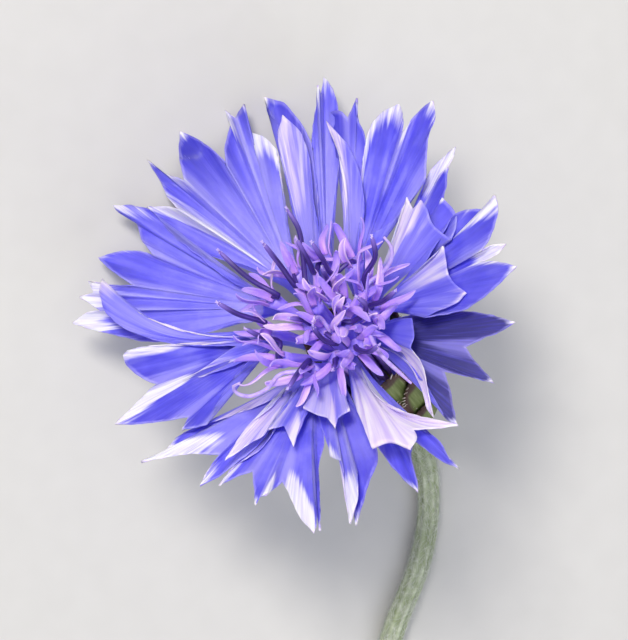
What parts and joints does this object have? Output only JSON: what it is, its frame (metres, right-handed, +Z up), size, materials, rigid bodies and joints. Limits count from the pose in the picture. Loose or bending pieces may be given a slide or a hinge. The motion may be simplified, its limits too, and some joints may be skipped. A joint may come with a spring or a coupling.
{
  "type": "cornflower",
  "caption": "Cut blue meadow flower lying on a table: lobed trumpet ray florets round violet disc florets, a scaly green cup and a short bent stem.",
  "frame": {"origin": "on the surface the flower lies on, under the middle of the whole flower", "axes": "+Z up from the surface; the stem runs towards -Y and the head leans towards -X and +Y"},
  "size_m": [0.036, 0.0824, 0.0414],
  "materials": {
    "stem": "grey-green ribbed stem with white cobwebby wool, matte",
    "receptacle": "pale green plant flesh, matte",
    "bract": "olive-green scales with brown, silvery-fringed margins, satin",
    "ray_petal": "blue-violet petals, paler and whiter on the outside and at turned lobes, velvety",
    "disc_petal": "pinkish-violet small florets with dark violet anther tubes, velvety"
  },
  "bodies": {
    "root": {"receptacle": "receptacle", "bract_inner_1": "bract", "bract_inner_2": "bract", "bract_inner_3": "bract", "bract_inner_4": "bract", "bract_inner_5": "bract", "bract_inner_6": "bract", "bract_inner_7": "bract", "bract_inner_8": "bract", "bract_middle_1": "bract", "bract_middle_2": "bract", "bract_middle_3": "bract", "bract_middle_4": "bract", "bract_middle_5": "bract", "bract_middle_6": "bract", "bract_middle_7": "bract", "bract_middle_8": "bract", "bract_outer_1": "bract", "bract_outer_2": "bract", "bract_outer_3": "bract", "bract_outer_4": "bract", "bract_outer_5": "bract", "bract_outer_6": "bract", "bract_outer_7": "bract", "bract_outer_8": "bract", "ray_floret_1": "ray_petal", "ray_floret_2": "ray_petal", "ray_floret_3": "ray_petal", "ray_floret_4": "ray_petal", "ray_floret_5": "ray_petal", "ray_floret_6": "ray_petal", "ray_floret_7": "ray_petal", "ray_floret_8": "ray_petal", "ray_floret_9": "ray_petal", "ray_floret_10": "ray_petal", "ray_floret_11": "ray_petal", "ray_floret_12": "ray_petal", "ray_floret_13": "ray_petal", "ray_floret_14": "ray_petal", "disc_floret_1": "disc_petal", "disc_floret_2": "disc_petal", "disc_floret_3": "disc_petal", "disc_floret_4": "disc_petal", "disc_floret_5": "disc_petal", "disc_floret_6": "disc_petal", "disc_floret_7": "disc_petal", "disc_floret_8": "disc_petal", "disc_floret_9": "disc_petal", "disc_floret_10": "disc_petal", "disc_floret_11": "disc_petal", "disc_floret_12": "disc_petal", "disc_floret_13": "disc_petal", "disc_floret_14": "disc_petal", "disc_floret_15": "disc_petal", "disc_floret_16": "disc_petal", "disc_floret_17": "disc_petal", "disc_floret_18": "disc_petal", "stem": "stem"}
  },
  "joints": []
}
